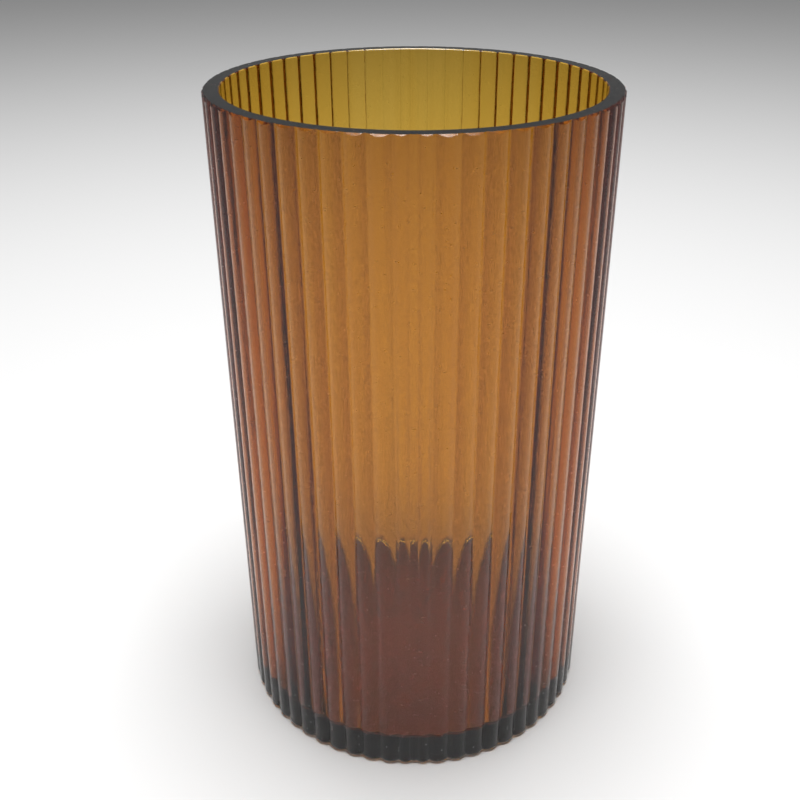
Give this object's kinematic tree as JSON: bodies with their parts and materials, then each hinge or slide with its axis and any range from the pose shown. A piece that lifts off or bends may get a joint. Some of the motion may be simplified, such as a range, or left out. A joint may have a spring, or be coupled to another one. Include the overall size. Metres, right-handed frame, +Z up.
{
  "type": "vase",
  "caption": "Straight round glass vase with vertical ribs outside, a smooth amber inside, a thick grey base and a flat ground rim.",
  "frame": {"origin": "centre of the flat underside, where the vase stands", "axes": "+Z up along the vase's axis to the open mouth; the mould's parting lines are at -Y and +Y"},
  "size_m": [0.143, 0.1424, 0.25],
  "materials": {
    "smoke_glass": "clear smoke-grey, fire-polished ribs, fine-ground rim",
    "amber_glass": "clear amber-brown, polished"
  },
  "bodies": {
    "root": {"ribbed_casing": "smoke_glass", "amber_lining": "amber_glass"}
  },
  "joints": []
}
